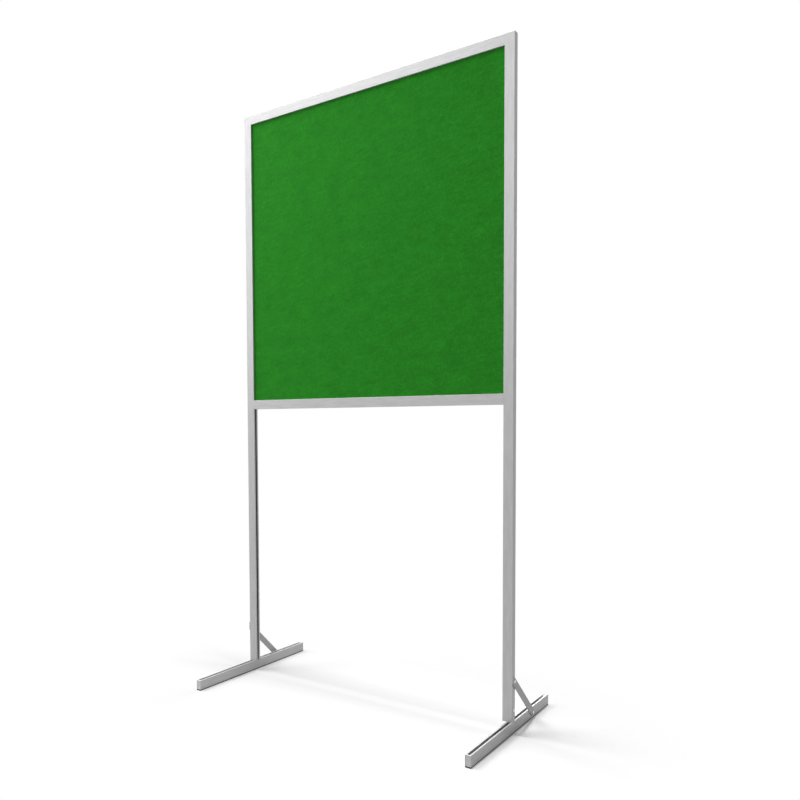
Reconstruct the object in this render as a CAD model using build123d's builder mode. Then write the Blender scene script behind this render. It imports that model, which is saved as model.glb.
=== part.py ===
from build123d import *
from math import sqrt
import os

# Free-standing acoustic divider screen. A felt-faced board sits in the groove of an aluminium
# channel frame. The frame's two posts run down to two channel feet, and a flat diagonal brace
# behind the screen stiffens each post on its foot. Millimetres, +Z up, -Y is the front. The
# origin is on the floor, under the middle of the screen.
os.makedirs("parts", exist_ok=True)

# Overall sizes
screen_width = 1000.0           # over the two posts
screen_height = 1900.0          # floor to the top of the frame
foot_length = 500.0             # front to back, with the cap
rail_underside_height = 910.0   # floor to the underside of the mid rail

# The one aluminium channel that posts, rails and feet are cut from. Its flanges end in lips that
# turn in over the groove and leave a mouth as wide as the panel.
channel_face = 30.0             # the wide side, seen from the front
channel_depth = 18.0            # across the web
channel_wall = 2.0              # of web, flanges and lips
channel_edge_radius = 0.8       # outer corners of the web
channel_lip_edge = 0.4          # broken edges of the two lips
groove_width = channel_depth - 2 * channel_wall
groove_reach = channel_face - 2 * channel_wall    # from the web to the lips

# The panel: a board between two felt faces, held by its edges in the groove
panel_engagement = 12.0         # how far its edges reach into the groove
board_thickness = 5.0
felt_thickness = 1.5
panel_thickness = board_thickness + 2 * felt_thickness
mouth_width = panel_thickness

# Rubber edge seal, a U strip pushed over the panel's edges, which ends behind the lips
seal_base = 2.0

# Setting blocks that carry the panel on the mid rail
block_length = 80.0
block_spacing = 560.0
block_edge = 1.0
block_side_gap = 0.3            # to each side of the groove

# Corner keys and rail keys, cast L pieces pressed into the grooves, flat on the webs. Screws from
# the rear lock the rail keys, which carry the panel.
key_leg_length = 70.0
key_thickness = 10.0
key_inner_radius = 3.0
key_end_chamfer = 2.5
key_screw_from_end = 20.0

# Feet
pad_thickness = 3.0
pad_side_inset = 0.5
cap_plate = 3.0
cap_plug_length = 14.0
cap_plug_height = 12.0
cap_plug_gap = 0.2
cap_plug_taper = 1.5
cap_corner_radius = 1.2
cap_face_edge = 0.7
cap_lip_width = 1.8             # raised rim round the face of the cap
cap_lip_height = 0.5

# Post blocks, T pieces that join each post to its foot
block_base_length = 60.0
block_base_height = 12.0
block_rise = 75.0               # how far the upright goes up inside the post
post_block_gap = 0.2
post_block_edge = 1.0
foot_screw_spacing = 40.0
post_screw_rise = 32.0          # the screw above the post's lower end

# Diagonal braces, flat bar on the outer faces
brace_width = 20.0
brace_thickness = 3.0
brace_reach = 128.0             # from the post's bolt to the foot's bolt, back and down alike
brace_end_margin = 9.0          # from a bolt to the cut end

# Button head screws (braces and post blocks)
bolt_radius = 2.5
bolt_length = 12.0
bolt_head_radius = 4.75
bolt_head_height = 2.75
bolt_rim_height = 1.0           # the head's straight side, under its sloped one
bolt_top_radius = 3.0
bolt_socket_flats = 3.0
bolt_socket_depth = 1.5
bolt_hole_gap = 0.25
nut_flange_radius = 5.9
nut_flange_thickness = 1.0
nut_flats = 8.0
nut_height = 5.0                # with its flange
thread_gap = 0.05               # radial, between a screw and the thread that it sits in

# Countersunk screws (keys and foot webs)
flush_screw_radius = 2.0
flush_screw_length = 11.0
flush_head_radius = 3.7
flush_head_gap = 0.1
flush_socket_flats = 2.5
flush_socket_depth = 1.0
flush_hole_gap = 0.2
countersink_angle = 90.0        # degrees

cut_overrun = 1.0               # how far a cut runs past the face that it opens

# Places worked out from the sizes above
post_face_x = screen_width / 2
post_inner_x = post_face_x - channel_face
foot_top = pad_thickness + channel_face
foot_center_x = post_face_x - channel_depth / 2
foot_front = -foot_length / 2
foot_web_top = pad_thickness + channel_wall
frame_half_depth = channel_depth / 2
web_inner_x = post_face_x - channel_wall
rail_web_top = rail_underside_height + channel_wall
rail_top = rail_underside_height + channel_face
panel_side_x = post_inner_x + panel_engagement
panel_bottom = rail_top - panel_engagement
panel_top = screen_height - channel_face + panel_engagement
panel_middle_z = (panel_bottom + panel_top) / 2
seal_side_x = panel_side_x + seal_base
seal_low_z = panel_bottom - seal_base
seal_high_z = panel_top + seal_base
seal_reach = seal_base + panel_engagement - channel_wall
foot_bolt_z = pad_thickness + channel_face / 2
post_bolt_z = foot_bolt_z + brace_reach
brace_outer_x = post_face_x + brace_thickness
post_screw_z = foot_top + post_screw_rise


# Section planes: y is the way that the flanges point. Face planes: z looks out of the metal.
def upright_plane(x, z):
    """Section plane of the left post or seal, which runs up: its y points at the panel."""
    return Plane(origin=(x, 0, z), x_dir=(0, -1, 0), z_dir=(0, 0, 1))


def level_plane(x, z, flanges_up):
    """Section plane of a rail or seal that runs along X: its y points up or down."""
    return Plane(origin=(x, 0, z), x_dir=(0, 1 if flanges_up else -1, 0), z_dir=(1, 0, 0))


def rear_plane(x, z):
    """Plane on the rear face of the frame, looking out."""
    return Plane(origin=(x, frame_half_depth, z), x_dir=(-1, 0, 0), z_dir=(0, 1, 0))


def side_plane(side, x, y, z):
    """Plane on an outer face of the left side (-1) or the right side (1), looking out."""
    return Plane(origin=(side * x, y, z), x_dir=(0, side, 0), z_dir=(side, 0, 0))


def sole_plane(side, y):
    """Plane on the underside of a foot's web, looking down at the place of a foot screw."""
    return Plane(origin=(side * foot_center_x, y, pad_thickness), x_dir=(1, 0, 0), z_dir=(0, 0, -1))


def mitre_plane(x, z, to_right):
    """Plane of a mitred corner: it faces up, and towards +X or -X."""
    return Plane(origin=(x, 0, z), x_dir=(0, 1, 0), z_dir=(1 if to_right else -1, 0, 1))


def channel_section(plane):
    """Section of the aluminium channel, with its web on the plane's x axis."""
    with BuildSketch(plane) as section:
        Rectangle(channel_depth, channel_face, align=(Align.CENTER, Align.MIN))
        fillet(section.vertices().group_by(Axis.Y)[0], channel_edge_radius)
        with Locations((0, channel_wall)):
            Rectangle(groove_width, groove_reach, align=(Align.CENTER, Align.MIN), mode=Mode.SUBTRACT)
            Rectangle(mouth_width, channel_face, align=(Align.CENTER, Align.MIN), mode=Mode.SUBTRACT)
        chamfer(section.vertices().group_by(Axis.Y)[-1], channel_lip_edge)
    return section.sketch


def mill_lips(plane, length):
    """Mills both lips away over a length, so that a piece can pass through the channel's mouth."""
    with BuildSketch(plane) as notch:
        Rectangle(groove_width, length)
    extrude(notch.sketch, amount=-channel_wall, mode=Mode.SUBTRACT)


def seal_section(plane):
    """U section of the edge seal, with its base on the plane's x axis."""
    with BuildSketch(plane) as section:
        Rectangle(groove_width, seal_reach, align=(Align.CENTER, Align.MIN))
        with Locations((0, seal_base)):
            Rectangle(panel_thickness, seal_reach, align=(Align.CENTER, Align.MIN), mode=Mode.SUBTRACT)
    return section.sketch


def hexagon(plane, flats):
    """Hexagon of a socket or a nut, by its width across flats."""
    with BuildSketch(plane) as outline:
        RegularPolygon(flats / 2, 6, major_radius=False)
    return outline.sketch


def drill_flush_hole(plane):
    """Countersunk hole for a flush screw, through one wall of the channel."""
    with Locations(plane):
        CounterSinkHole(
            flush_screw_radius + flush_hole_gap,
            flush_head_radius + flush_head_gap,
            depth=channel_wall + cut_overrun,
            counter_sink_angle=countersink_angle,
        )


def drill_bolt_hole(plane, wall):
    """Clearance hole for a button head screw, through one wall."""
    with Locations(plane):
        Hole(bolt_radius + bolt_hole_gap, depth=wall + cut_overrun)


def flush_screw(plane):
    """Countersunk screw: its head is flush with the plane, and its shank goes back from it."""
    behind = (Align.CENTER, Align.CENTER, Align.MAX)
    cone_height = flush_head_radius - flush_screw_radius
    with Locations(plane):
        Cylinder(flush_screw_radius, flush_screw_length, align=behind)
        Cone(flush_screw_radius, flush_head_radius, cone_height, align=behind)
    extrude(hexagon(plane, flush_socket_flats), amount=-flush_socket_depth, mode=Mode.SUBTRACT)


def button_screw(plane):
    """Button head screw: its low head stands on the plane, and its shank goes back from it."""
    half_plane = Plane(origin=plane.origin, x_dir=plane.x_dir, z_dir=plane.y_dir)
    with BuildSketch(half_plane) as half:
        with BuildLine():
            Polyline(
                (0, bolt_length),
                (bolt_radius, bolt_length),
                (bolt_radius, 0),
                (bolt_head_radius, 0),
                (bolt_head_radius, -bolt_rim_height),
                (bolt_top_radius, -bolt_head_height),
                (0, -bolt_head_height),
                close=True,
            )
        make_face()
    revolve(half.sketch, axis=Axis(plane.origin, plane.z_dir))
    head_top = plane.offset(bolt_head_height)
    extrude(hexagon(head_top, bolt_socket_flats), amount=-bolt_socket_depth, mode=Mode.SUBTRACT)


def flange_nut(plane):
    """Nut with its own washer face, which lies on the plane and looks back along the bolt."""
    upward = (Align.CENTER, Align.CENTER, Align.MIN)
    with Locations(plane):
        Cylinder(nut_flange_radius, nut_flange_thickness, align=upward)
    extrude(hexagon(plane, nut_flats), amount=nut_height)
    with Locations(plane):
        Hole(bolt_radius + thread_gap)


# Posts: the web is outside, the groove faces the panel, and the top end is mitred. The lips are
# milled away where the mid rail's key and the edge seal pass into the groove. The screws of the rail
# keys come in from the rear.
rail_key_z = rail_web_top + key_thickness / 2
key_leg_x = web_inner_x - key_thickness / 2
key_screw_x = web_inner_x - key_leg_length + key_screw_from_end
rail_key_screw_z = rail_web_top + key_leg_length - key_screw_from_end

with BuildPart() as left_post:
    extrude(channel_section(upright_plane(-post_face_x, foot_top)), amount=screen_height - foot_top)
    split(bisect_by=mitre_plane(-post_face_x, screen_height, True), keep=Keep.BOTTOM)
    rail_center = (-post_inner_x, 0, rail_underside_height + channel_face / 2)
    mill_lips(Plane(origin=rail_center, x_dir=(0, 1, 0), z_dir=(1, 0, 0)), groove_reach)
    drill_flush_hole(rear_plane(-key_leg_x, rail_key_screw_z))
    drill_bolt_hole(side_plane(-1, post_face_x, 0, post_bolt_z), channel_wall)
    drill_bolt_hole(side_plane(-1, post_face_x, 0, post_screw_z), channel_wall)

with BuildPart() as right_post:
    mirror(left_post.part, about=Plane.YZ)

# Top rail: the same channel with its groove down, mitred at both ends
with BuildPart() as top_rail:
    extrude(channel_section(level_plane(-post_face_x, screen_height, False)), amount=screen_width)
    split(bisect_by=mitre_plane(-post_face_x, screen_height, True), keep=Keep.TOP)
    split(bisect_by=mitre_plane(post_face_x, screen_height, False), keep=Keep.TOP)

# Mid rail: groove up under the panel, cut square and butted between the posts
with BuildPart() as mid_rail:
    rail_end = level_plane(-post_inner_x, rail_underside_height, True)
    extrude(channel_section(rail_end), amount=2 * post_inner_x)
    drill_flush_hole(rear_plane(-key_screw_x, rail_key_z))
    drill_flush_hole(rear_plane(key_screw_x, rail_key_z))


# Corner keys and rail keys: L pieces with both legs flat on the webs
def key_shape(corner_z, leg_up):
    """L of a left key in the XZ plane: its outer corner is at the post's web and at corner_z."""
    rise = 1 if leg_up else -1
    with BuildSketch(Plane.XZ) as outline:
        with BuildLine():
            Polyline(
                (-web_inner_x, corner_z),
                (-web_inner_x + key_leg_length, corner_z),
                (-web_inner_x + key_leg_length, corner_z + rise * key_thickness),
                (-web_inner_x + key_thickness, corner_z + rise * key_thickness),
                (-web_inner_x + key_thickness, corner_z + rise * key_leg_length),
                (-web_inner_x, corner_z + rise * key_leg_length),
                close=True,
            )
        make_face()
        corners = outline.vertices()
        tips = corners.group_by(Axis.X)[-1] + corners.group_by(Axis.Y)[-1 if leg_up else 0]
        inner_corner = corners.sort_by_distance(
            (-web_inner_x + key_thickness, corner_z + rise * key_thickness)
        )[0]
        fillet(inner_corner, key_inner_radius)
        chamfer(tips, key_end_chamfer)
    return outline.sketch


def tapped_hole(plane):
    """Through hole for a flush screw that is threaded into a key."""
    with Locations(plane):
        Hole(flush_screw_radius + thread_gap)


with BuildPart() as corner_key_left:
    extrude(key_shape(screen_height - channel_wall, False), amount=groove_width / 2, both=True)

with BuildPart() as corner_key_right:
    mirror(corner_key_left.part, about=Plane.YZ)

with BuildPart() as rail_key_left:
    extrude(key_shape(rail_web_top, True), amount=groove_width / 2, both=True)
    tapped_hole(rear_plane(-key_leg_x, rail_key_screw_z))
    tapped_hole(rear_plane(-key_screw_x, rail_key_z))

with BuildPart() as rail_key_right:
    mirror(rail_key_left.part, about=Plane.YZ)

with BuildPart() as rail_key_screws:
    for side in (-1, 1):
        flush_screw(rear_plane(side * key_leg_x, rail_key_screw_z))
        flush_screw(rear_plane(side * key_screw_x, rail_key_z))

# Panel: the sound-absorbing board and its two felt faces, all one outline
panel_plane = Plane(origin=(0, 0, panel_middle_z), x_dir=(1, 0, 0), z_dir=(0, -1, 0))

with BuildPart() as acoustic_board:
    with BuildSketch(panel_plane):
        Rectangle(2 * panel_side_x, panel_top - panel_bottom)
    extrude(amount=board_thickness / 2, both=True)

with BuildPart() as felt_front:
    with BuildSketch(panel_plane.offset(board_thickness / 2)):
        Rectangle(2 * panel_side_x, panel_top - panel_bottom)
    extrude(amount=felt_thickness)

with BuildPart() as felt_back:
    mirror(felt_front.part, about=Plane.XZ)

# Edge seal: four mitred U strips on the panel's edges, a press in the groove
with BuildPart() as seal_left:
    extrude(seal_section(upright_plane(-seal_side_x, seal_low_z)), amount=seal_high_z - seal_low_z)
    split(bisect_by=mitre_plane(-seal_side_x, seal_high_z, True), keep=Keep.BOTTOM)
    split(bisect_by=mitre_plane(-seal_side_x, seal_low_z, False), keep=Keep.TOP)

with BuildPart() as seal_right:
    mirror(seal_left.part, about=Plane.YZ)

with BuildPart() as seal_bottom:
    extrude(seal_section(level_plane(-seal_side_x, seal_low_z, True)), amount=2 * seal_side_x)
    split(bisect_by=mitre_plane(-seal_side_x, seal_low_z, False), keep=Keep.BOTTOM)
    split(bisect_by=mitre_plane(seal_side_x, seal_low_z, True), keep=Keep.BOTTOM)

with BuildPart() as seal_top:
    mirror(seal_bottom.part, about=Plane.XY.offset(panel_middle_z))

# Setting blocks: they stand on the mid rail's web and carry the panel
with BuildPart() as setting_blocks:
    with BuildSketch(Plane.XY.offset(rail_web_top)):
        with GridLocations(block_spacing, 0, 2, 1):
            Rectangle(block_length, groove_width - 2 * block_side_gap)
    extrude(amount=seal_low_z - rail_web_top)
    chamfer(edges().filter_by(Axis.Z), block_edge)

# Feet: the same channel with its groove up, a plugged cap in front, open at the rear. The lips are
# milled away where the post block comes up.
foot_plane = Plane(
    origin=(-foot_center_x, foot_front + cap_plate, pad_thickness),
    x_dir=(-1, 0, 0),
    z_dir=(0, 1, 0),
)

with BuildPart() as left_foot:
    extrude(channel_section(foot_plane), amount=foot_length - cap_plate)
    mill_lips(Plane(origin=(-foot_center_x, 0, foot_top)), groove_width)
    drill_bolt_hole(side_plane(-1, post_face_x, brace_reach, foot_bolt_z), channel_wall)
    for y in (-foot_screw_spacing / 2, foot_screw_spacing / 2):
        drill_flush_hole(sole_plane(-1, y))

with BuildPart() as right_foot:
    mirror(left_foot.part, about=Plane.YZ)

with BuildPart() as left_foot_cap:
    with BuildSketch(foot_plane.offset(-cap_plate)) as cap_outline:
        Rectangle(channel_depth, channel_face, align=(Align.CENTER, Align.MIN))
        fillet(cap_outline.vertices(), cap_corner_radius)
    extrude(amount=cap_plate)
    chamfer(faces().sort_by(Axis.Y)[0].edges(), cap_face_edge)
    with BuildSketch(faces().sort_by(Axis.Y)[0]):
        Rectangle(channel_depth - 2 * cap_lip_width, channel_face - 2 * cap_lip_width)
    extrude(amount=-cap_lip_height, mode=Mode.SUBTRACT)
    with BuildSketch(foot_plane):
        with Locations((0, channel_wall + cap_plug_gap)):
            Rectangle(groove_width - 2 * cap_plug_gap, cap_plug_height, align=(Align.CENTER, Align.MIN))
    extrude(amount=cap_plug_length)
    chamfer(faces().sort_by(Axis.Y)[-1].edges(), cap_plug_taper)

with BuildPart() as right_foot_cap:
    mirror(left_foot_cap.part, about=Plane.YZ)

with BuildPart() as left_foot_pad:
    with BuildSketch(Plane(origin=(-foot_center_x, 0, 0))):
        Rectangle(channel_depth - 2 * pad_side_inset, foot_length)
    extrude(amount=pad_thickness)

with BuildPart() as right_foot_pad:
    mirror(left_foot_pad.part, about=Plane.YZ)

# Post blocks: a base in the foot's groove, and an upright inside the post
post_block_width = groove_width - 2 * post_block_gap
post_block_base_top = foot_web_top + block_base_height
post_block_top = foot_top + block_rise

with BuildPart() as left_post_block:
    with BuildSketch(Plane(origin=(-foot_center_x, 0, foot_web_top))):
        Rectangle(post_block_width, block_base_length)
    extrude(amount=block_base_height)
    chamfer(edges().filter_by(Axis.X).group_by(Axis.Z)[-1], post_block_edge)
    with BuildSketch(Plane(origin=(-foot_center_x, 0, foot_web_top))):
        Rectangle(post_block_width, post_block_width)
    extrude(amount=post_block_top - foot_web_top)
    chamfer(faces().sort_by(Axis.Z)[-1].edges(), post_block_edge)
    for y in (-foot_screw_spacing / 2, foot_screw_spacing / 2):
        with Locations(sole_plane(-1, y)):
            Hole(flush_screw_radius + thread_gap, depth=channel_wall + block_base_height)
    with Locations(side_plane(-1, post_face_x, 0, post_screw_z)):
        Hole(bolt_radius + thread_gap)

with BuildPart() as right_post_block:
    mirror(left_post_block.part, about=Plane.YZ)

with BuildPart() as foot_screws:
    for side in (-1, 1):
        for y in (-foot_screw_spacing / 2, foot_screw_spacing / 2):
            flush_screw(sole_plane(side, y))

with BuildPart() as post_screws:
    for side in (-1, 1):
        button_screw(side_plane(side, post_face_x, 0, post_screw_z))

# Braces: flat bar at 45 degrees, cut in line with the post's front and level with the floor
brace_bolt_places = ((0, post_bolt_z), (brace_reach, foot_bolt_z))    # (y, z)
brace_half_cut = brace_width / sqrt(2)
brace_line = brace_reach + foot_bolt_z
brace_top_y = -brace_end_margin
brace_low_z = foot_bolt_z - brace_end_margin

with BuildPart() as left_brace:
    with BuildSketch(Plane(origin=(-post_face_x, 0, 0), x_dir=(0, -1, 0), z_dir=(-1, 0, 0))):
        with BuildLine():
            Polyline(
                (-brace_top_y, brace_line - brace_top_y - brace_half_cut),
                (-brace_top_y, brace_line - brace_top_y + brace_half_cut),
                (-(brace_line - brace_low_z + brace_half_cut), brace_low_z),
                (-(brace_line - brace_low_z - brace_half_cut), brace_low_z),
                close=True,
            )
        make_face()
    extrude(amount=brace_thickness)
    for y, z in brace_bolt_places:
        drill_bolt_hole(side_plane(-1, brace_outer_x, y, z), brace_thickness)

with BuildPart() as right_brace:
    mirror(left_brace.part, about=Plane.YZ)

with BuildPart() as brace_bolts:
    for side in (-1, 1):
        for y, z in brace_bolt_places:
            button_screw(side_plane(side, brace_outer_x, y, z))

with BuildPart() as brace_nuts:
    for side in (-1, 1):
        for y, z in brace_bolt_places:
            flange_nut(side_plane(-side, -web_inner_x, y, z))

pieces = {
    "left_post": left_post,
    "right_post": right_post,
    "top_rail": top_rail,
    "mid_rail": mid_rail,
    "corner_key_left": corner_key_left,
    "corner_key_right": corner_key_right,
    "rail_key_left": rail_key_left,
    "rail_key_right": rail_key_right,
    "rail_key_screws": rail_key_screws,
    "acoustic_board": acoustic_board,
    "felt_front": felt_front,
    "felt_back": felt_back,
    "seal_left": seal_left,
    "seal_right": seal_right,
    "seal_top": seal_top,
    "seal_bottom": seal_bottom,
    "setting_blocks": setting_blocks,
    "left_foot": left_foot,
    "right_foot": right_foot,
    "left_foot_cap": left_foot_cap,
    "right_foot_cap": right_foot_cap,
    "left_foot_pad": left_foot_pad,
    "right_foot_pad": right_foot_pad,
    "left_post_block": left_post_block,
    "right_post_block": right_post_block,
    "foot_screws": foot_screws,
    "post_screws": post_screws,
    "left_brace": left_brace,
    "right_brace": right_brace,
    "brace_bolts": brace_bolts,
    "brace_nuts": brace_nuts,
}
for name, piece in pieces.items():
    piece.part.label = name
    export_step(piece.part, f"parts/{name}.step")
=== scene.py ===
from math import cos, inf, pi, radians, sin, sqrt, tau

import bmesh
import bpy
from mathutils import Matrix, Vector, noise
from mathutils.geometry import tessellate_polygon


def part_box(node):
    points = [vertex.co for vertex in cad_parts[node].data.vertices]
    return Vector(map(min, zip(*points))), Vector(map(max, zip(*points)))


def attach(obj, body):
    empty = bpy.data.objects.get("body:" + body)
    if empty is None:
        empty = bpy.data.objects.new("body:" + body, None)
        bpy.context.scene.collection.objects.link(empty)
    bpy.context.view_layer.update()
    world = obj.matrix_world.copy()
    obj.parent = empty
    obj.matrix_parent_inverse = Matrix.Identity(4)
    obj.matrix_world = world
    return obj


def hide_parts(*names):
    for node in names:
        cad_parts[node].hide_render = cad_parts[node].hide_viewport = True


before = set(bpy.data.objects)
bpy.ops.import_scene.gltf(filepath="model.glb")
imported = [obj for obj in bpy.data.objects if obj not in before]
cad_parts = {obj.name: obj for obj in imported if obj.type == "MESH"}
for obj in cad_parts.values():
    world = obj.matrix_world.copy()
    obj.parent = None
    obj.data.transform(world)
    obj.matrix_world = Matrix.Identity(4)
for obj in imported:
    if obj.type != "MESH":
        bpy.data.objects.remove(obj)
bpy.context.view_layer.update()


# Feet
# Each foot is a length of the screen's one aluminium channel, laid with its groove up. The channel
# is extruded, sawn to length and satin anodised, which leaves the die's fine lines along the bar.
sides = ("left", "right")
die_lines_across = 1400.0
die_lines_along = 6.0
clouds_across = 120.0
clouds_along = 18.0
channel_darker = (0.43, 0.43, 0.435, 1.0)
channel_lighter = (0.47, 0.47, 0.475, 1.0)


def add_node(tree, kind, inputs=(), **settings):
    """Adds a shader node with these settings and these values in its inputs."""
    made = tree.nodes.new(kind)
    for name, value in settings.items():
        setattr(made, name, value)
    for name, value in dict(inputs).items():
        made.inputs[name].default_value = value
    return made


def new_finish(name, **shader_values):
    """Returns a material with these constants on its shader's own sockets, its nodes and its shader."""
    finish = bpy.data.materials.new(name)
    finish.use_nodes = True
    shader = finish.node_tree.nodes["Principled BSDF"]
    for socket, value in shader_values.items():
        shader.inputs[socket.replace("_", " ")].default_value = value
    return finish, finish.node_tree, shader


def stretched_noise(tree, cells, detail):
    """Noise over the object's own coordinates, with its own number of cells per metre on each axis."""
    place = add_node(tree, "ShaderNodeTexCoord")
    stretch = add_node(tree, "ShaderNodeMapping", {"Scale": cells})
    made = add_node(tree, "ShaderNodeTexNoise", {"Scale": 1.0, "Detail": detail, "Roughness": 0.5})
    tree.links.new(place.outputs["Object"], stretch.inputs["Vector"])
    tree.links.new(stretch.outputs["Vector"], made.inputs["Vector"])
    return made


def grey(level):
    """An opaque grey of this linear level."""
    return (level, level, level, 1.0)


def ramp_between(tree, source, low, high, socket, start=0.35, end=0.65):
    """Colour or grey from low to high, as the source's factor goes from start to end."""
    ramp = add_node(tree, "ShaderNodeValToRGB")
    ramp.color_ramp.elements[0].position = start
    ramp.color_ramp.elements[0].color = low
    ramp.color_ramp.elements[1].position = end
    ramp.color_ramp.elements[1].color = high
    tree.links.new(source.outputs["Fac"], ramp.inputs["Fac"])
    tree.links.new(ramp.outputs["Color"], socket)


def relief(tree, shader, source, depth, strength):
    """Bump of that depth in metres from the source's factor."""
    bump = add_node(tree, "ShaderNodeBump", {"Strength": strength, "Distance": depth})
    tree.links.new(source.outputs["Fac"], bump.inputs["Height"])
    tree.links.new(bump.outputs["Normal"], shader.inputs["Normal"])


def anodised_channel(name, run):
    """Satin anodised aluminium whose die lines run along one axis of the object."""
    finish, tree, shader = new_finish(name, Metallic=0.35)
    line_cells = [die_lines_along if axis == run else die_lines_across for axis in "XYZ"]
    cloud_cells = [clouds_along if axis == run else clouds_across for axis in "XYZ"]
    lines = stretched_noise(tree, line_cells, detail=3.0)
    clouds = stretched_noise(tree, cloud_cells, detail=2.0)
    ramp_between(tree, clouds, channel_darker, channel_lighter, shader.inputs["Base Color"])
    ramp_between(tree, lines, grey(0.36), grey(0.48), shader.inputs["Roughness"])
    relief(tree, shader, lines, depth=0.00006, strength=0.25)
    return finish


def dress(node, finish):
    """Gives a CAD node its finish."""
    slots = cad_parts[node].data.materials
    slots.clear()
    slots.append(finish)


foot_metal = anodised_channel("anodised_foot", "Y")
for side in sides:
    dress(f"{side}_foot", foot_metal)


# Foot pads
# A strip of black rubber under the whole length of each foot, glued on and cut square at the ends. It
# is extruded with ribs on its sole, and is matt, with a faint open grain.
pad_ribs = 5
pad_groove_width = 0.0012
pad_groove_depth = 0.0008
pad_edge = 0.0003
sharp_from = radians(35.0)


def grained_finish(name, cells, detail, tones, roughness, depth=0.0, strength=0.0, **shader_values):
    """A finish whose tone and roughness follow one grain, which stands out as a bump if it has depth."""
    finish, tree, shader = new_finish(name, **shader_values)
    grain = stretched_noise(tree, cells, detail)
    ramp_between(tree, grain, *tones, shader.inputs["Base Color"])
    smoother, rougher = roughness
    ramp_between(tree, grain, grey(smoother), grey(rougher), shader.inputs["Roughness"])
    if depth:
        relief(tree, shader, grain, depth, strength)
    return finish


def rubber(name, level):
    """Matt rubber whose open grain goes from this grey to twice as light."""
    return grained_finish(
        name, cells=(900.0, 900.0, 900.0), detail=4.0, tones=(grey(level), grey(2 * level)),
        roughness=(0.72, 0.88), depth=0.00012, strength=0.5,
    )


def wall_between(first, second, count):
    """Faces between two rings of points, each ring given by the number of its first point."""
    after = [(k + 1) % count for k in range(count)]
    return [(first + k, first + after[k], second + after[k], second + k) for k in range(count)]


def ribbed_strip(node):
    """A strip in its node's place that runs along Y, with its ribs on the floor."""
    low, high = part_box(node)
    rib_width = (high.x - low.x - (pad_ribs - 1) * pad_groove_width) / pad_ribs
    groove_z = low.z + pad_groove_depth
    section = [(low.x, low.z + pad_edge), (low.x + pad_edge, low.z)]
    for groove in range(pad_ribs - 1):
        start = low.x + rib_width + groove * (rib_width + pad_groove_width)
        end = start + pad_groove_width
        section += [(start, low.z), (start + pad_edge, groove_z), (end - pad_edge, groove_z), (end, low.z)]
    section += [(high.x - pad_edge, low.z), (high.x, low.z + pad_edge)]
    section += [(high.x, high.z - pad_edge), (high.x - pad_edge, high.z)]
    section += [(low.x + pad_edge, high.z), (low.x, high.z - pad_edge)]
    count = len(section)
    verts = [(x, y, z) for y in (low.y, high.y) for x, z in section]
    faces = wall_between(0, count, count)
    end_faces = tessellate_polygon([[Vector((x, 0, z)) for x, z in section]])
    faces += [tuple(face) for face in end_faces]
    faces += [tuple(v + count for v in face) for face in end_faces]
    return verts, faces


def smooth_mesh(name, verts, faces, finish):
    """A mesh of one finish with smooth faces."""
    mesh = bpy.data.meshes.new(name)
    mesh.from_pydata(verts, [], faces)
    mesh.polygons.foreach_set("use_smooth", [True] * len(mesh.polygons))
    mesh.materials.append(finish)
    return mesh


def stand_for(node, name, mesh):
    """Puts the mesh in the place of a CAD node of the object's one body."""
    piece = bpy.data.objects.new(name, mesh)
    bpy.context.scene.collection.objects.link(piece)
    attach(piece, "root")
    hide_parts(node)
    return piece


def hard_piece(node, name, shape, finish):
    """A rigid piece for a CAD node: its faces look outwards, and its edges are sharp where they turn."""
    mesh = smooth_mesh(name, *shape, finish)
    surface = bmesh.new()
    surface.from_mesh(mesh)
    bmesh.ops.recalc_face_normals(surface, faces=surface.faces)
    surface.to_mesh(mesh)
    surface.free()
    mesh.set_sharp_from_angle(angle=sharp_from)
    stand_for(node, name, mesh)


pad_rubber = rubber("black_pad_rubber", 0.012)
for side in sides:
    pad_node = f"{side}_foot_pad"
    hard_piece(pad_node, f"{side}_ribbed_pad", ribbed_strip(pad_node), pad_rubber)


# Foot caps
# A pressed-in cap of pale grey plastic closes the front end of each foot. Its face has the fine
# spark texture of the mould, and a raised rim that catches the light.
cap_plastic = grained_finish(
    "pale_grey_cap", cells=(2600.0, 2600.0, 2600.0), detail=2.0, tones=(grey(0.53), grey(0.60)),
    roughness=(0.42, 0.55), depth=0.00005, strength=0.4,
)
for side in sides:
    dress(f"{side}_foot_cap", cap_plastic)


# Post blocks and keys
# Sand-cast aluminium, left as cast where it is hidden in the grooves: T blocks that join each post
# to its foot, and L keys in the four corners of the frame.
cast_metal = grained_finish(
    "as_cast_aluminium", cells=(700.0, 700.0, 700.0), detail=5.0, tones=(grey(0.38), grey(0.52)),
    roughness=(0.5, 0.7), depth=0.0002, strength=0.6, Metallic=0.9,
)
for side in sides:
    for casting in (f"{side}_post_block", f"corner_key_{side}", f"rail_key_{side}"):
        dress(casting, cast_metal)


# Posts and rails
# The same anodised channel as the feet, mitred at the top corners, with the mid rail butted
# between the posts. Each bar's die lines run along it.
post_metal = anodised_channel("anodised_post", "Z")
rail_metal = anodised_channel("anodised_rail", "X")
for side in sides:
    dress(f"{side}_post", post_metal)
for rail in ("top_rail", "mid_rail"):
    dress(rail, rail_metal)


# Edge seals and setting blocks
# Black rubber strips of U section grip the panel's edges in the groove, and two hard plastic
# blocks on the mid rail carry its weight.
seal_rubber = rubber("black_seal_rubber", 0.014)
for edge in ("left", "right", "top", "bottom"):
    dress(f"seal_{edge}", seal_rubber)
block_plastic = grained_finish(
    "black_block_plastic", cells=(1800.0, 1800.0, 1800.0), detail=2.0,
    tones=(grey(0.02), grey(0.035)), roughness=(0.4, 0.5),
)
dress("setting_blocks", block_plastic)


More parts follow.
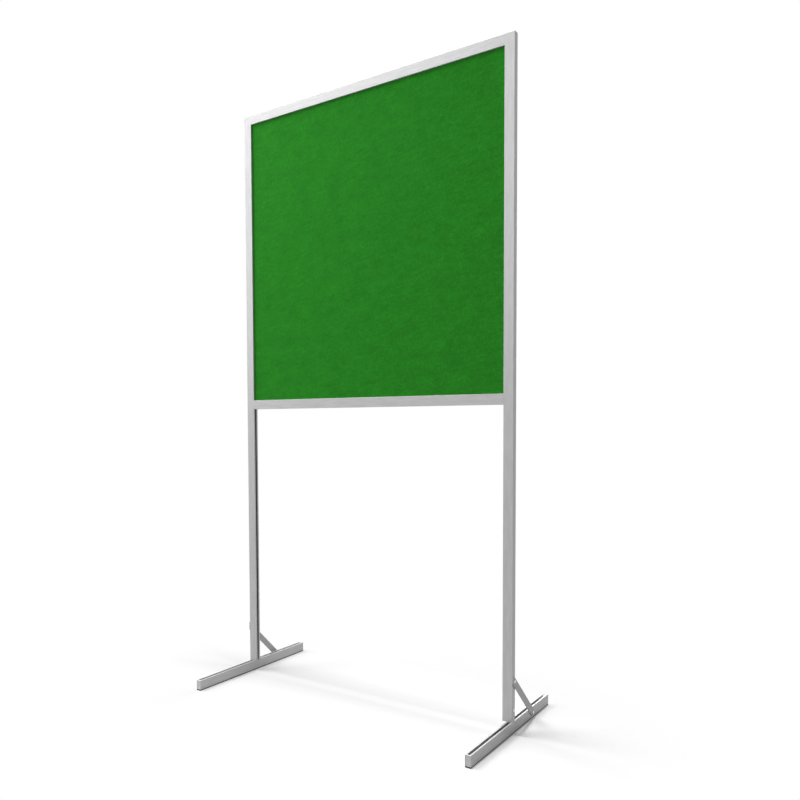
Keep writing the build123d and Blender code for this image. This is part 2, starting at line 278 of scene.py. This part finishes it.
# Acoustic board
# The core between the two felts is pressed fibre, pale and open, and takes up the sound. Its cut
# edges are out of sight in the seals.
board_fibre = grained_finish(
    "pressed_fibre", cells=(420.0, 1600.0, 420.0), detail=6.0,
    tones=((0.40, 0.38, 0.31, 1.0), (0.58, 0.56, 0.48, 1.0)),
    roughness=(0.85, 0.98), depth=0.0003, strength=0.7,
)
dress("acoustic_board", board_fibre)


# Felt faces
# Green needle felt is glued flat over each side of the board and ends inside the seals. Its nap
# leaves soft clouds and faint slanting brush marks, and a fuzzy, uneven surface.
felt_darker = (0.0185, 0.188, 0.0150, 1.0)
felt_lighter = (0.0225, 0.226, 0.0175, 1.0)
felt_sheen = (0.10, 0.45, 0.08, 1.0)
felt_brush_slant = radians(-12.0)
felt_cell = 0.008
felt_wave = 0.0002
felt_tufts_per_metre = 90
felt_swells_per_metre = 16
felt_swell_share = 0.5


def brushed_noise(tree, cells, detail, slant):
    """Noise whose cells are turned about Y by the slant, so that they run askew over the sheet."""
    cell_sizes = [1 / number for number in cells]
    slanted = {"Rotation": (0.0, slant, 0.0), "Scale": cell_sizes}
    place = add_node(tree, "ShaderNodeTexCoord")
    turned = add_node(tree, "ShaderNodeMapping", slanted, vector_type="TEXTURE")
    made = add_node(tree, "ShaderNodeTexNoise", {"Scale": 1.0, "Detail": detail, "Roughness": 0.55})
    tree.links.new(place.outputs["Object"], turned.inputs["Vector"])
    tree.links.new(turned.outputs["Vector"], made.inputs["Vector"])
    return made


def felt_finish():
    """Soft clouds, with brush marks, tufts and single fibres laid over them as tones."""
    finish, tree, shader = new_finish(
        "green_needle_felt", Roughness=1.0, Specular_IOR_Level=0.03,
        Sheen_Weight=0.08, Sheen_Roughness=0.6, Sheen_Tint=felt_sheen,
    )
    clouds = stretched_noise(tree, (14.0, 14.0, 26.0), detail=5.0)
    marks = brushed_noise(tree, (26.0, 26.0, 130.0), detail=3.0, slant=felt_brush_slant)
    tufts = stretched_noise(tree, (170.0, 170.0, 170.0), detail=4.0)
    fibres = stretched_noise(tree, (620.0, 620.0, 620.0), detail=6.0)
    tone = add_node(tree, "ShaderNodeMixRGB", {"Fac": 1.0}, blend_type="OVERLAY")
    ramp_between(tree, clouds, felt_darker, felt_lighter, tone.inputs["Color1"], start=0.25, end=0.75)
    ramp_between(tree, marks, grey(0.455), grey(0.545), tone.inputs["Color2"], start=0.3, end=0.7)
    for layer, low, high in ((tufts, 0.43, 0.57), (fibres, 0.42, 0.58)):
        over = add_node(tree, "ShaderNodeMixRGB", {"Fac": 1.0}, blend_type="OVERLAY")
        tree.links.new(tone.outputs["Color"], over.inputs["Color1"])
        ramp_between(tree, layer, grey(low), grey(high), over.inputs["Color2"], start=0.3, end=0.7)
        tone = over
    tree.links.new(tone.outputs["Color"], shader.inputs["Base Color"])
    relief(tree, shader, fibres, depth=0.0006, strength=0.6)
    return finish


def felt_dip(x, z, facing):
    """How far the outer face of the felt lies below its highest tufts."""
    tuft = noise.noise(Vector((x * felt_tufts_per_metre, facing, z * felt_tufts_per_metre)))
    swell = noise.noise(Vector((x * felt_swells_per_metre, facing, z * felt_swells_per_metre)))
    return felt_wave * (1 + felt_swell_share - tuft - felt_swell_share * swell)


def felt_sheet(node, name, facing):
    """A closed felt sheet in its node's place, glued to the board, with a gently uneven outer face."""
    low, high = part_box(node)
    columns = round((high.x - low.x) / felt_cell)
    rows = round((high.z - low.z) / felt_cell)
    inner_y, outer_y = (high.y, low.y) if facing < 0 else (low.y, high.y)
    xs = [low.x + (high.x - low.x) * column / columns for column in range(columns + 1)]
    zs = [low.z + (high.z - low.z) * row / rows for row in range(rows + 1)]
    verts = [(x, inner_y, z) for z in zs for x in xs]
    verts += [(x, outer_y - facing * felt_dip(x, z, facing), z) for z in zs for x in xs]
    stride = columns + 1
    front = stride * (rows + 1)
    faces = []
    for row in range(rows):
        for column in range(columns):
            corner = row * stride + column
            quad = (corner, corner + 1, corner + stride + 1, corner + stride)
            faces.append([front + v for v in quad])
            faces.append(list(reversed(quad)))
    rim = list(range(columns))
    rim += [row * stride + columns for row in range(rows)]
    rim += [rows * stride + column for column in range(columns, 0, -1)]
    rim += [row * stride for row in range(rows, 0, -1)]
    for here, there in zip(rim, rim[1:] + rim[:1]):
        faces.append((here, there, front + there, front + here))
    if facing > 0:
        faces = [tuple(reversed(face)) for face in faces]
    sheet = stand_for(node, name, smooth_mesh(name, verts, faces, green_felt))


green_felt = felt_finish()
felt_sheet("felt_front", "felt_sheet_front", -1)
felt_sheet("felt_back", "felt_sheet_back", 1)


# Braces
# A flat aluminium bar at 45 degrees on the outside of each post and foot, sheared to length, drilled
# and anodised a little darker than the channel. Its edges are broken, so they catch the light.
outwards = {"left": -1, "right": 1}
brace_low, brace_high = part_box("right_brace")
brace_width = 0.020
brace_end_margin = 0.009
brace_edge = 0.0004
brace_corner_radius = 0.0012
brace_corner_steps = 4
brace_hole_radius = 0.00275
hole_points = 24
sheared_end = brace_width * sqrt(2)
brace_corners = [
    (brace_low.y, brace_high.z), (brace_low.y, brace_high.z - sheared_end),
    (brace_high.y - sheared_end, brace_low.z), (brace_high.y, brace_low.z),
]
brace_holes = [
    (brace_low.y + brace_end_margin, brace_high.z - sheared_end / 2 - brace_end_margin),
    (brace_high.y - sheared_end / 2 - brace_end_margin, brace_low.z + brace_end_margin),
]


def rounded_outline(corners, radius, inset):
    """A convex outline, counterclockwise, with round corners, drawn in by an inset."""
    points = []
    for before, here, after in zip(corners[-1:] + corners[:-1], corners, corners[1:] + corners[:1]):
        before, here, after = Vector(before), Vector(here), Vector(after)
        back, ahead = (before - here).normalized(), (after - here).normalized()
        half_angle = back.angle(ahead) / 2
        center = here + (back + ahead).normalized() * radius / sin(half_angle)
        first_out = Vector((-back.y, back.x))
        for step in range(brace_corner_steps + 1):
            turn = (pi - 2 * half_angle) * step / brace_corner_steps
            out_way = Matrix.Rotation(turn, 2) @ first_out
            points.append(center + out_way * (radius - inset))
    return points


def brace_bar(out):
    """The bar's edge rings from the post outwards, its two flat sides and the walls of its holes."""
    inner_x, outer_x, edge = out * brace_low.x, out * brace_high.x, out * brace_edge
    rings = [(inner_x, brace_edge), (inner_x + edge, 0.0), (outer_x - edge, 0.0), (outer_x, brace_edge)]
    verts, faces = [], []
    for x, inset in rings:
        outline = rounded_outline(brace_corners, brace_corner_radius, inset)
        verts += [(x, y, z) for y, z in outline]
    count = len(outline)
    last_start = (len(rings) - 1) * count
    for start in range(0, last_start, count):
        faces += wall_between(start, start + count, count)
    for x, start in ((inner_x, 0), (outer_x, last_start)):
        loops = [list(range(start, start + count))]
        for y, z in brace_holes:
            loops.append(list(range(len(verts), len(verts) + hole_points)))
            for k in range(hole_points):
                turn = tau * k / hole_points
                verts.append((x, y + brace_hole_radius * cos(turn), z + brace_hole_radius * sin(turn)))
        order = [v for loop in loops for v in loop]
        flat = tessellate_polygon([[Vector(verts[v]) for v in loop] for loop in loops])
        faces += [tuple(order[v] for v in face) for face in flat]
    inner_holes = len(rings) * count
    outer_holes = inner_holes + len(brace_holes) * hole_points
    for offset in range(0, outer_holes - inner_holes, hole_points):
        faces += wall_between(inner_holes + offset, outer_holes + offset, hole_points)
    return verts, faces


brace_metal = grained_finish(
    "anodised_brace", cells=(300.0, 300.0, 300.0), detail=4.0, tones=(grey(0.33), grey(0.38)),
    roughness=(0.38, 0.5), depth=0.00008, strength=0.3, Metallic=0.3,
)
for side, out in outwards.items():
    hard_piece(f"{side}_brace", f"{side}_brace_bar", brace_bar(out), brace_metal)


# Screws and nuts
# Zinc-plated steel. Button head screws with flange nuts hold the braces, one more button head screw
# goes into each post block, and countersunk screws hold the rail keys and the feet.
ring_points = 48
thread_depth_share = 0.6
thread_steps = 6
thread_run_out = 0.0001


def round_ring(radius, height):
    """Points on a circle about the fastener's axis."""
    turns = [tau * k / ring_points for k in range(ring_points)]
    return [(radius * cos(turn), radius * sin(turn), height) for turn in turns]


def hexagon_ring(flats, height, largest=inf):
    """Ring round a hexagon, cut back to a largest radius where a nut's corners are turned away."""
    ring = []
    side_turn = pi / 3
    for k in range(ring_points):
        turn = tau * k / ring_points
        from_flat = (turn + side_turn / 2) % side_turn - side_turn / 2
        radius = min(flats / 2 / cos(from_flat), largest)
        ring.append((radius * cos(turn), radius * sin(turn), height))
    return ring


def thread_rings(radius, pitch, tip, head):
    """Rings of a right-hand thread from its chamfered tip up to the shank under the head."""
    depth = thread_depth_share * pitch
    rings = [round_ring(radius - depth, tip)]
    for step in range(1, int((head - tip) / pitch * thread_steps)):
        height = tip + step * pitch / thread_steps
        ring = []
        for k in range(ring_points):
            turn = tau * k / ring_points
            phase = (height / pitch - k / ring_points) % 1.0
            crest = radius - depth * abs(2 * phase - 1)
            ring.append((crest * cos(turn), crest * sin(turn), height))
        rings.append(ring)
    return rings


button_radius = 0.0025
button_pitch = 0.0008
button_length = 0.012
button_shank = 0.0005
button_head_foot = 0.0046
button_head_radius = 0.00475
button_head_rim = 0.0006
button_head_flat = 0.0024
button_head_height = 0.00275
button_dome_steps = 7
button_socket_mouth = 0.00185
button_socket_edge = 0.00015
button_socket_flats = 0.003
button_socket_floor = 0.00125
button_socket_point = 0.0009


def button_head_screw():
    """M5, 12 long, with a domed head and a 3 mm socket: rings from the tip to the socket's floor."""
    rings = thread_rings(button_radius, button_pitch, -button_length, -button_shank - thread_run_out)
    rings += [round_ring(button_radius, -button_shank), round_ring(button_radius, 0.0)]
    rings.append(round_ring(button_head_foot, 0.0))
    for step in range(button_dome_steps + 1):
        turn = pi / 2 * step / button_dome_steps
        radius = button_head_flat + (button_head_radius - button_head_flat) * cos(turn)
        height = button_head_rim + (button_head_height - button_head_rim) * sin(turn)
        rings.append(round_ring(radius, height))
    rings.append(round_ring(button_socket_mouth, button_head_height))
    rings.append(hexagon_ring(button_socket_flats, button_head_height - button_socket_edge))
    rings.append(hexagon_ring(button_socket_flats, button_socket_floor))
    return rings, (0.0, 0.0, -button_length), (0.0, 0.0, button_socket_point)


flush_radius = 0.002
flush_pitch = 0.0007
flush_length = 0.011
flush_head_depth = 0.0017
flush_head_radius = 0.00362
flush_head_edge = 0.0001
flush_face_radius = 0.00355
flush_socket_mouth = 0.00155
flush_socket_edge = 0.00012
flush_socket_flats = 0.0025
flush_socket_depth = 0.001
flush_socket_point = 0.0013


def flush_head_screw():
    """M4, 11 long, with a countersunk head and a 2.5 mm socket."""
    rings = thread_rings(flush_radius, flush_pitch, -flush_length, -flush_head_depth - thread_run_out)
    rings.append(round_ring(flush_radius, -flush_head_depth))
    rings.append(round_ring(flush_head_radius, -flush_head_edge))
    rings += [round_ring(flush_face_radius, 0.0), round_ring(flush_socket_mouth, 0.0)]
    rings.append(hexagon_ring(flush_socket_flats, -flush_socket_edge))
    rings.append(hexagon_ring(flush_socket_flats, -flush_socket_depth))
    return rings, (0.0, 0.0, -flush_length), (0.0, 0.0, -flush_socket_point)


nut_flats = 0.008
nut_height = 0.005
nut_flange_foot = 0.0057
nut_flange_radius = 0.0059
nut_flange_edge = 0.0002
nut_flange_rim = 0.0007
nut_flank_foot = 0.00135
nut_crown_height = 0.0043
nut_crown_radius = 0.0043
nut_top_radius = 0.0038
nut_top_edge = 0.0003
nut_bore = 0.00255
nut_bore_foot = 0.00275
nut_bore_mouth = 0.0029


def flange_nut():
    """M5, 8 mm across flats, with its washer face on the wall. Its rings close on each other."""
    rings = [round_ring(nut_bore_foot, 0.0), round_ring(nut_flange_foot, 0.0)]
    rings += [round_ring(nut_flange_radius, height) for height in (nut_flange_edge, nut_flange_rim)]
    rings += [hexagon_ring(nut_flats, nut_flank_foot), hexagon_ring(nut_flats, nut_crown_height)]
    rings.append(hexagon_ring(nut_flats, nut_height - nut_top_edge, nut_crown_radius))
    rings.append(hexagon_ring(nut_flats, nut_height, nut_top_radius))
    rings += [round_ring(nut_bore_mouth, nut_height), round_ring(nut_bore, nut_height - nut_top_edge)]
    rings.append(round_ring(nut_bore, nut_top_edge))
    return rings, None, None


turn_between_screws = radians(37)


def seated(parts, seats):
    """Copies of one fastener at its seats, each a place and the way that its head looks out."""
    rings, tip, socket_point = parts
    points = [point for ring in rings for point in ring]
    starts = [number * ring_points for number in range(len(rings))]
    faces = []
    for start, next_start in zip(starts, starts[1:]):
        faces += wall_between(start, next_start, ring_points)
    if tip is None:
        faces += wall_between(starts[-1], starts[0], ring_points)
    else:
        tip_number, socket_number = len(points), len(points) + 1
        points += [tip, socket_point]
        for k in range(ring_points):
            after = (k + 1) % ring_points
            faces.append((after, k, tip_number))
            faces.append((starts[-1] + k, starts[-1] + after, socket_number))
    all_verts, all_faces = [], []
    for number, (place, out_way) in enumerate(seats):
        out_way = Vector(out_way)
        first_way = Vector((1, 0, 0)) if out_way.z else Vector((0, 0, 1))
        ways = Matrix((first_way, out_way.cross(first_way), out_way)).transposed().to_4x4()
        seat = Matrix.Translation(place) @ ways @ Matrix.Rotation(number * turn_between_screws, 4, "Z")
        offset = len(all_verts)
        all_verts += [tuple(seat @ Vector(point)) for point in points]
        all_faces += [tuple(offset + v for v in face) for face in faces]
    return all_verts, all_faces


post_low, post_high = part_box("right_post")
foot_low, foot_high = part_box("right_foot")
channel_wall = 0.002
web_x = post_high.x - channel_wall
rail_web_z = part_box("mid_rail")[0].z + channel_wall
post_screw_rise = 0.032
post_screw_z = post_low.z + post_screw_rise
foot_screw_x = (foot_low.x + foot_high.x) / 2
foot_screw_spacing = 0.040
key_half_thickness = 0.005
key_screw_reach = 0.050
key_screw_places = [
    (web_x - key_half_thickness, rail_web_z + key_screw_reach),
    (web_x - key_screw_reach, rail_web_z + key_half_thickness),
]
brace_bolt_seats, brace_nut_seats, post_screw_seats = [], [], []
key_screw_seats, foot_screw_seats = [], []
for out in outwards.values():
    for y, z in brace_holes:
        brace_bolt_seats.append(((out * brace_high.x, y, z), (out, 0, 0)))
        brace_nut_seats.append(((out * web_x, y, z), (-out, 0, 0)))
    post_screw_seats.append(((out * post_high.x, 0.0, post_screw_z), (out, 0, 0)))
    for x, z in key_screw_places:
        key_screw_seats.append(((out * x, post_high.y, z), (0, 1, 0)))
    for y in (-foot_screw_spacing / 2, foot_screw_spacing / 2):
        foot_screw_seats.append(((out * foot_screw_x, y, foot_low.z), (0, 0, -1)))
bright_steel = grained_finish(
    "zinc_plated_steel", cells=(1500.0, 1500.0, 1500.0), detail=3.0,
    tones=((0.60, 0.605, 0.61, 1.0), (0.73, 0.735, 0.74, 1.0)),
    roughness=(0.22, 0.36), depth=0.00003, strength=0.3, Metallic=1.0,
)
for node, name, parts, seats in (
    ("brace_bolts", "brace_button_screws", button_head_screw(), brace_bolt_seats),
    ("brace_nuts", "brace_flange_nuts", flange_nut(), brace_nut_seats),
    ("post_screws", "post_button_screws", button_head_screw(), post_screw_seats),
    ("rail_key_screws", "key_flush_screws", flush_head_screw(), key_screw_seats),
    ("foot_screws", "foot_flush_screws", flush_head_screw(), foot_screw_seats),
):
    hard_piece(node, name, seated(parts, seats), bright_steel)


# Floor
# A grey floor that takes the soft shadows and fades to white away from the screen. It glows a little
# where it is seen directly or in the metal, and its paint is greyer on the left, where the lamps are.
floor_half = 12.0
floor_paint_right = 0.545
floor_paint_left = 0.435
floor_tone_reach = 0.5
floor_bounce_level = 0.395
floor_glow = 0.12
fade_shape = (0.6, 1.0, 1.0)
fade_starts = 0.28
fade_ends = 0.62


def seen_directly(tree):
    """1 for rays from the camera, and for those that metal or glass sends on, and 0 for diffuse light."""
    path = add_node(tree, "ShaderNodeLightPath")
    seen = add_node(tree, "ShaderNodeMath", operation="MAXIMUM")
    seen_or_through = add_node(tree, "ShaderNodeMath", operation="MAXIMUM")
    tree.links.new(path.outputs["Is Camera Ray"], seen.inputs[0])
    tree.links.new(path.outputs["Is Glossy Ray"], seen.inputs[1])
    tree.links.new(seen.outputs[0], seen_or_through.inputs[0])
    tree.links.new(path.outputs["Is Transmission Ray"], seen_or_through.inputs[1])
    return seen_or_through.outputs[0]


def near_paint(tree, place, seen):
    """Matt paint, darker on the left, with its own level for bounced light, and the glow added to it."""
    across = add_node(tree, "ShaderNodeSeparateXYZ")
    tree.links.new(place.outputs["Object"], across.inputs[0])
    tone = add_node(tree, "ShaderNodeMapRange", {
        "From Min": -floor_tone_reach, "From Max": floor_tone_reach,
        "To Min": floor_paint_left, "To Max": floor_paint_right,
    })
    tree.links.new(across.outputs["X"], tone.inputs["Value"])
    paint_level = add_node(tree, "ShaderNodeMapRange", {"To Min": floor_bounce_level})
    tree.links.new(seen, paint_level.inputs["Value"])
    tree.links.new(tone.outputs["Result"], paint_level.inputs["To Max"])
    matt = add_node(tree, "ShaderNodeBsdfDiffuse")
    tree.links.new(paint_level.outputs["Result"], matt.inputs["Color"])
    glow_level = add_node(tree, "ShaderNodeMath", {1: floor_glow}, operation="MULTIPLY")
    tree.links.new(seen, glow_level.inputs[0])
    glow = add_node(tree, "ShaderNodeEmission", {"Color": grey(1.0)})
    tree.links.new(glow_level.outputs[0], glow.inputs["Strength"])
    both = add_node(tree, "ShaderNodeAddShader")
    tree.links.new(matt.outputs[0], both.inputs[0])
    tree.links.new(glow.outputs[0], both.inputs[1])
    return both.outputs[0]


def white_beyond(tree, place, seen):
    """From 0 near the screen to 1 outside an oval round it, for what is seen directly."""
    oval = add_node(tree, "ShaderNodeMapping", {"Scale": fade_shape})
    tree.links.new(place.outputs["Object"], oval.inputs["Vector"])
    reach = add_node(tree, "ShaderNodeVectorMath", operation="LENGTH")
    tree.links.new(oval.outputs["Vector"], reach.inputs[0])
    fade_span = {"From Min": fade_starts, "From Max": fade_ends}
    fade = add_node(tree, "ShaderNodeMapRange", fade_span, interpolation_type="SMOOTHSTEP")
    tree.links.new(reach.outputs["Value"], fade.inputs["Value"])
    seen_far = add_node(tree, "ShaderNodeMath", operation="MULTIPLY")
    tree.links.new(fade.outputs["Result"], seen_far.inputs[0])
    tree.links.new(seen, seen_far.inputs[1])
    return seen_far.outputs[0]


def mixed(tree, factor, first, second):
    """A mix of two shaders, all the second one where the factor is 1."""
    mix = add_node(tree, "ShaderNodeMixShader")
    tree.links.new(factor, mix.inputs["Fac"])
    tree.links.new(first, mix.inputs[1])
    tree.links.new(second, mix.inputs[2])
    return mix.outputs[0]


def floor_finish():
    """Grey paint near the screen, and plain white further out."""
    finish = bpy.data.materials.new("studio_floor")
    finish.use_nodes = True
    tree = finish.node_tree
    tree.nodes.clear()
    place = add_node(tree, "ShaderNodeTexCoord")
    seen = seen_directly(tree)
    near_floor = near_paint(tree, place, seen)
    far_floor = add_node(tree, "ShaderNodeEmission", {"Color": grey(1.0), "Strength": 1.0})
    whole_floor = mixed(tree, white_beyond(tree, place, seen), near_floor, far_floor.outputs[0])
    surface = add_node(tree, "ShaderNodeOutputMaterial")
    tree.links.new(whole_floor, surface.inputs["Surface"])
    return finish


floor_mesh = bpy.data.meshes.new("studio_floor")
floor_corners = [
    (-floor_half, -floor_half, 0), (floor_half, -floor_half, 0),
    (floor_half, floor_half, 0), (-floor_half, floor_half, 0),
]
floor_mesh.from_pydata(floor_corners, [], [(0, 1, 2, 3)])
floor_mesh.materials.append(floor_finish())
floor = bpy.data.objects.new("studio_floor", floor_mesh)
bpy.context.scene.collection.objects.link(floor)


# Studio
# An even pale surround and five lamps: two on the left that make the screen's upper left the
# brightest, a small one overhead that draws the faint band of shadow under the panel, and weak ones
# in front and behind.
surround_level = 0.33
world = bpy.data.worlds.new("pale_surround")
bpy.context.scene.world = world
world.use_nodes = True
surround = world.node_tree
surround.nodes.clear()
even_light = add_node(surround, "ShaderNodeBackground", {"Color": grey(1.0), "Strength": surround_level})
white = add_node(surround, "ShaderNodeBackground", {"Color": grey(1.0), "Strength": 1.0})
whole_surround = mixed(surround, seen_directly(surround), even_light.outputs[0], white.outputs[0])
world_out = add_node(surround, "ShaderNodeOutputWorld")
surround.links.new(whole_surround, world_out.inputs["Surface"])


def soft_lamp(name, place, aim, size, watts):
    """Square area lamp at a place, turned to its aim."""
    lamp = bpy.data.lights.new(name, "AREA")
    lamp.shape = "SQUARE"
    lamp.size = size
    lamp.energy = watts
    holder = bpy.data.objects.new(name, lamp)
    holder.location = place
    holder.rotation_euler = (Vector(aim) - Vector(place)).to_track_quat("-Z", "Y").to_euler()
    bpy.context.scene.collection.objects.link(holder)


soft_lamp("high_left_lamp", place=(-2.1, -0.9, 4.2), aim=(0.0, 0.0, 1.0), size=1.9, watts=168.0)
soft_lamp("far_left_lamp", place=(-3.2, -1.2, 2.2), aim=(0.0, 0.0, 1.2), size=2.0, watts=42.0)
soft_lamp("overhead_lamp", place=(0.0, 0.0, 4.2), aim=(0.0, 0.0, 0.0), size=0.3, watts=115.0)
soft_lamp("front_lamp", place=(-0.6, -3.4, 2.6), aim=(0.0, 0.0, 1.2), size=2.0, watts=17.0)
soft_lamp("rear_lamp", place=(-0.2, 3.0, 1.8), aim=(0.0, 0.0, 0.9), size=1.0, watts=40.0)


# Camera
# It stands to the right of the screen, a little below its middle, and looks back at it slightly
# downwards, with the film shifted so that the whole of the tall screen is in the frame.
camera_place = (1.34299, -1.84183, 0.85622)
camera_turn = radians(33.468)
camera_downwards = 2.414
camera_tilt = radians(90 - camera_downwards)
camera_roll = radians(-0.139)
film_width = 36.0
film_shift = 0.0694
lens_length = 33.07
lens = bpy.data.cameras.new("camera")
lens.sensor_width = film_width
lens.lens = lens_length
lens.shift_y = film_shift
camera = bpy.data.objects.new("camera", lens)
turned_and_tilted = Matrix.Rotation(camera_turn, 4, "Z") @ Matrix.Rotation(camera_tilt, 4, "X")
turned_to_screen = turned_and_tilted @ Matrix.Rotation(camera_roll, 4, "Z")
camera.matrix_world = Matrix.Translation(camera_place) @ turned_to_screen
bpy.context.scene.collection.objects.link(camera)
bpy.context.scene.camera = camera
bpy.context.scene.view_settings.view_transform = "Standard"
